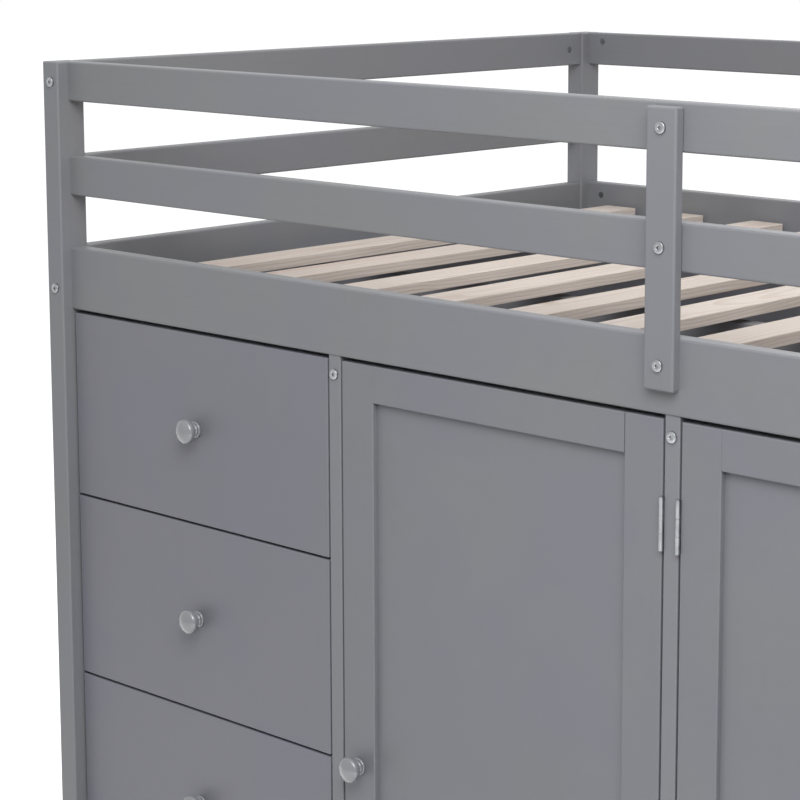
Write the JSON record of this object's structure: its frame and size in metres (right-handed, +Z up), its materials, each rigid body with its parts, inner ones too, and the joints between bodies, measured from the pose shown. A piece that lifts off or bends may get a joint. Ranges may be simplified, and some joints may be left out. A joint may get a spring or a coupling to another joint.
{
  "type": "loft bed",
  "caption": "Low loft bed with slats and guard rails, over drawers, a two-door wardrobe and open shelves behind a straight ladder.",
  "frame": {"origin": "on the floor, under the middle of the bed's whole box, ladder and bolt heads included", "axes": "+X along the bed to the ladder end, -Y out of the drawers and doors, +Z up"},
  "size_m": [2.006, 1.121, 1.37],
  "materials": {
    "grey_paint": "satin paint",
    "grey_board": "matt paint",
    "pale_pine": "planed, bare",
    "birch": "satin lacquer",
    "bright_steel": "zinc plated",
    "black_nylon": "matt"
  },
  "bodies": {
    "bed": {"front_left_post": "grey_paint", "front_right_post": "grey_paint", "back_left_post": "grey_paint", "back_right_post": "grey_paint", "front_top_guard_rail": "grey_paint", "front_middle_guard_rail": "grey_paint", "back_top_guard_rail": "grey_paint", "back_middle_guard_rail": "grey_paint", "left_end_guard_rails": "grey_paint", "right_end_guard_rails": "grey_paint", "left_end_side_rail": "grey_paint", "right_end_side_rail": "grey_paint", "front_side_rail": "grey_paint", "back_side_rail": "grey_paint", "middle_upright": "grey_paint", "entry_upright": "grey_paint", "slat_ledgers": "grey_paint", "slat_beam": "grey_paint", "slats": "pale_pine", "wood_screws": "bright_steel", "frame_bolts": "bright_steel", "barrel_nuts": "bright_steel", "foot_glides": "black_nylon", "left_side_panel": "grey_paint", "drawer_divider": "grey_paint", "door_divider": "grey_paint", "shelf_divider": "grey_paint", "right_side_panel": "grey_paint", "front_stiles": "grey_paint", "cabinet_tops": "grey_paint", "cabinet_floor": "grey_paint", "back_boards": "grey_board", "cabinet_base_rails": "grey_paint", "end_base_rails": "grey_paint", "drawer_runners": "birch", "divider_hinges": "bright_steel", "shelves": "grey_paint", "shelf_pins": "bright_steel", "ladder_rails": "grey_paint", "ladder_treads": "grey_paint"},
    "drawer_1": {"drawer_1_front": "grey_paint", "drawer_1_box": "birch", "drawer_1_knob": "grey_paint"},
    "drawer_2": {"drawer_2_front": "grey_paint", "drawer_2_box": "birch", "drawer_2_knob": "grey_paint"},
    "drawer_3": {"drawer_3_front": "grey_paint", "drawer_3_box": "birch", "drawer_3_knob": "grey_paint"},
    "drawer_4": {"drawer_4_front": "grey_paint", "drawer_4_box": "birch", "drawer_4_knob": "grey_paint"},
    "left_door": {"left_door_frame": "grey_paint", "left_door_panel": "grey_paint", "left_door_knob": "grey_paint", "left_door_hinges": "bright_steel"},
    "right_door": {"right_door_frame": "grey_paint", "right_door_panel": "grey_paint", "right_door_knob": "grey_paint", "right_door_hinges": "bright_steel"}
  },
  "joints": [
    {"name": "drawer_1_slide", "type": "slide", "parent": "bed", "child": "drawer_1", "axis": [0, -1, 0], "range_m": [0, 0.27]},
    {"name": "drawer_2_slide", "type": "slide", "parent": "bed", "child": "drawer_2", "axis": [0, -1, 0], "range_m": [0, 0.27]},
    {"name": "drawer_3_slide", "type": "slide", "parent": "bed", "child": "drawer_3", "axis": [0, -1, 0], "range_m": [0, 0.27]},
    {"name": "drawer_4_slide", "type": "slide", "parent": "bed", "child": "drawer_4", "axis": [0, -1, 0], "range_m": [0, 0.27]},
    {"name": "left_door_hinge", "type": "hinge", "parent": "bed", "child": "left_door", "pos_m": [-0.01075, -0.5012, 0.569], "axis": [0, 0, 1], "range_deg": [0, 86]},
    {"name": "right_door_hinge", "type": "hinge", "parent": "bed", "child": "right_door", "pos_m": [0.01075, -0.5012, 0.569], "axis": [0, 0, -1], "range_deg": [0, 86]}
  ]
}
